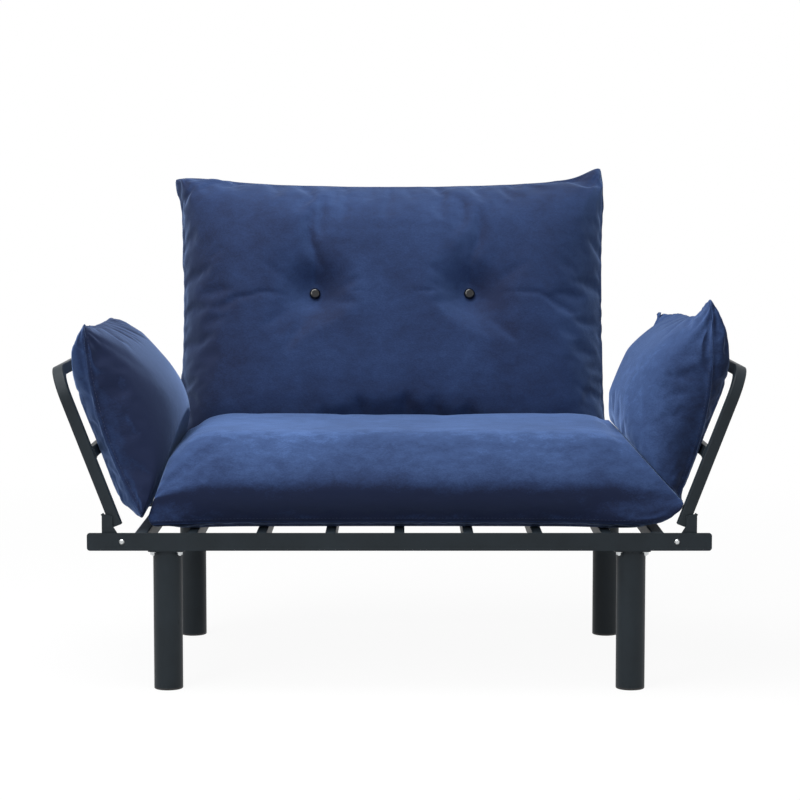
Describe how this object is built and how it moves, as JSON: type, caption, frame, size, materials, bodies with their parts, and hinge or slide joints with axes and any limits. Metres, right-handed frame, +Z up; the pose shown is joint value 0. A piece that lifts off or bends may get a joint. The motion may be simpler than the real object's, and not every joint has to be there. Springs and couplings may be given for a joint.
{
  "type": "futon sofa bed",
  "caption": "Small futon sofa bed: steel base on round legs, arm frames that fold flat, a reclining tufted back and loose velvet cushions.",
  "frame": {"origin": "floor level, below the middle of the whole object's plan outline", "axes": "+X along the seat to the sitter's left-hand side as seen from the front (picture right), the front faces -Y, +Z up"},
  "size_m": [1.364, 0.846, 1.017],
  "materials": {
    "frame_paint": "satin charcoal powder coat",
    "zinc": "bright zinc plate",
    "spring_steel": "oiled spring steel",
    "bush": "natural nylon",
    "foot": "black moulded plastic",
    "velvet": "navy velvet with a soft nap",
    "button": "glossy black",
    "twine": "waxed navy twine"
  },
  "bodies": {
    "base": {"front_rail": "frame_paint", "rear_rail": "frame_paint", "left_end_tube": "frame_paint", "right_end_tube": "frame_paint", "slat_1": "frame_paint", "slat_2": "frame_paint", "slat_3": "frame_paint", "slat_4": "frame_paint", "slat_5": "frame_paint", "slat_6": "frame_paint", "slat_7": "frame_paint", "front_left_leg": "frame_paint", "rear_left_leg": "frame_paint", "front_right_leg": "frame_paint", "rear_right_leg": "frame_paint", "foot_caps": "foot", "leg_mount_plates": "frame_paint", "leg_bolts": "zinc", "leg_nuts": "zinc", "arm_pivot_bolts": "zinc", "arm_pivot_nuts": "zinc", "left_arm_pawls": "spring_steel", "right_arm_pawls": "spring_steel", "left_back_bracket": "frame_paint", "right_back_bracket": "frame_paint", "back_pivot_bolts": "zinc", "back_pivot_nuts": "zinc", "back_pawls": "spring_steel", "seat_cushion": "velvet"},
    "left_arm": {"left_arm_tube": "frame_paint", "left_arm_crossbar": "frame_paint", "left_arm_front_leaf": "frame_paint", "left_arm_rear_leaf": "frame_paint", "left_arm_bushes": "bush", "left_arm_cushion": "velvet"},
    "right_arm": {"right_arm_tube": "frame_paint", "right_arm_crossbar": "frame_paint", "right_arm_front_leaf": "frame_paint", "right_arm_rear_leaf": "frame_paint", "right_arm_bushes": "bush", "right_arm_cushion": "velvet"},
    "back": {"back_tube": "frame_paint", "back_lower_crossbar": "frame_paint", "back_upper_crossbar": "frame_paint", "left_back_leaf": "frame_paint", "right_back_leaf": "frame_paint", "back_bushes": "bush", "back_cushion": "velvet", "front_tuft_buttons": "button", "rear_tuft_buttons": "button", "tuft_twines": "twine"}
  },
  "joints": [
    {"name": "left_arm_fold", "type": "hinge", "parent": "base", "child": "left_arm", "pos_m": [-0.542, -0.09006, 0.2965], "axis": [0, -1, 0], "range_deg": [0, 69], "deforming": ["left_arm_pawls"]},
    {"name": "right_arm_fold", "type": "hinge", "parent": "base", "child": "right_arm", "pos_m": [0.542, -0.09006, 0.2965], "axis": [0, 1, 0], "range_deg": [0, 69], "deforming": ["right_arm_pawls"]},
    {"name": "back_recline", "type": "hinge", "parent": "base", "child": "back", "pos_m": [0, 0.26744, 0.2965], "axis": [-1, 0, 0], "range_deg": [0, 76], "deforming": ["back_pawls"]}
  ]
}
